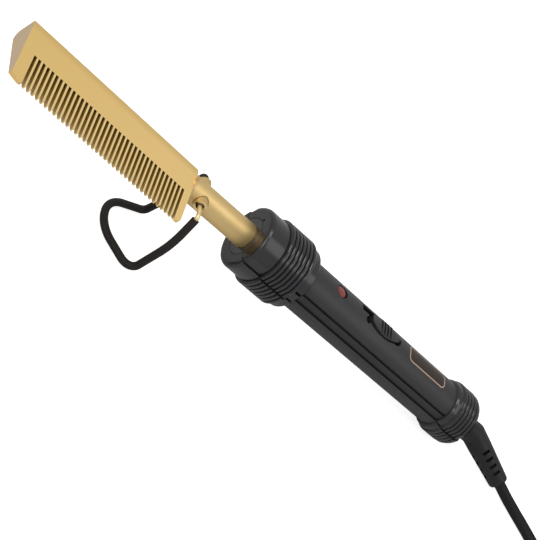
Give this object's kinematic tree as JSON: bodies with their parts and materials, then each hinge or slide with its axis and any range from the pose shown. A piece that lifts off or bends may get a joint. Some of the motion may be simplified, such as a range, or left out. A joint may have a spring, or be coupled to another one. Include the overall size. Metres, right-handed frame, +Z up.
{
  "type": "electric hot comb",
  "caption": "Electric hot comb with a heated brass comb on a barrel, a ribbed moulded handle, slide switch, pilot light, fold-out wire stand and swivel cord.",
  "frame": {"origin": "middle of the tool's footprint on the surface it rests on, the cord left out", "axes": "+X runs from the comb to the cord, the tool sloping down that way at rest; teeth point to -Y; +Z up, towards the switch"},
  "size_m": [0.467, 0.08, 0.0632],
  "materials": {
    "brass_comb": "satin cast brass",
    "brass_tube": "satin drawn brass",
    "heater_steel": "drawn steel sheath",
    "ceramic": "matt ceramic",
    "sleeving": "matt silicone sleeving",
    "grip_plastic": "semi-gloss moulded grip",
    "bush_plastic": "heat-proof moulded bush",
    "steel": "plated steel",
    "red_lens": "translucent red lens",
    "lamp_glass": "clear glass bulb",
    "resistor_body": "lacquered body",
    "knob_plastic": "moulded knob",
    "inner_plastic": "moulded phenolic",
    "contact_brass": "stamped brass",
    "lead_white": "braided insulation",
    "lead_dark": "extruded insulation",
    "boot_rubber": "moulded flexible boot",
    "cord_jacket": "extruded jacket",
    "tie_plastic": "flexible strap",
    "plug_plastic": "moulded plug",
    "blade_metal": "nickel-plated blades"
  },
  "bodies": {
    "cord": {"cord_boot": "boot_rubber", "swivel_core": "inner_plastic", "slip_rings": "contact_brass", "mains_cord": "cord_jacket", "cord_coil": "cord_jacket", "cord_tie": "tie_plastic", "cord_tail": "cord_jacket", "plug_body": "plug_plastic", "plug_blades": "blade_metal"},
    "handle": {"comb_head": "brass_comb", "heater_cartridge": "heater_steel", "heater_bead": "ceramic", "thermal_fuse": "ceramic", "barrel_tube": "brass_tube", "stand_bosses": "brass_tube", "front_bush": "bush_plastic", "tube_collar": "steel", "handle_top": "grip_plastic", "handle_bottom": "grip_plastic", "handle_screws": "steel", "pilot_lens": "red_lens", "neon_lamp": "lamp_glass", "lamp_resistor": "resistor_body", "switch_body": "inner_plastic", "switch_screws": "steel", "switch_terminals": "contact_brass", "low_heat_diode": "inner_plastic", "live_lead": "lead_white", "neutral_lead": "lead_white", "feed_lead": "lead_dark", "return_lead": "lead_dark", "crimp_cap": "ceramic", "brush_carrier": "inner_plastic", "brush_springs": "contact_brass"},
    "stand": {"stand_wire": "brass_tube", "stand_sleeve": "sleeving"},
    "switch": {"switch_knob": "knob_plastic", "slide_shield": "inner_plastic", "contact_bridge": "contact_brass"}
  },
  "joints": [
    {"name": "cord_swivel", "type": "hinge", "parent": "cord", "child": "handle", "pos_m": [0.14116, 0.00345, 0.015], "axis": [0.991, 0, -0.1336], "continuous": true},
    {"name": "stand_fold", "type": "hinge", "parent": "handle", "child": "stand", "pos_m": [-0.04644, 0.00345, 0.04181], "axis": [0, 1, 0], "range_deg": [-56, 50]},
    {"name": "switch_slide", "type": "slide", "parent": "handle", "child": "switch", "axis": [-0.991, 0, 0.1336], "range_m": [0, 0.002]}
  ]
}
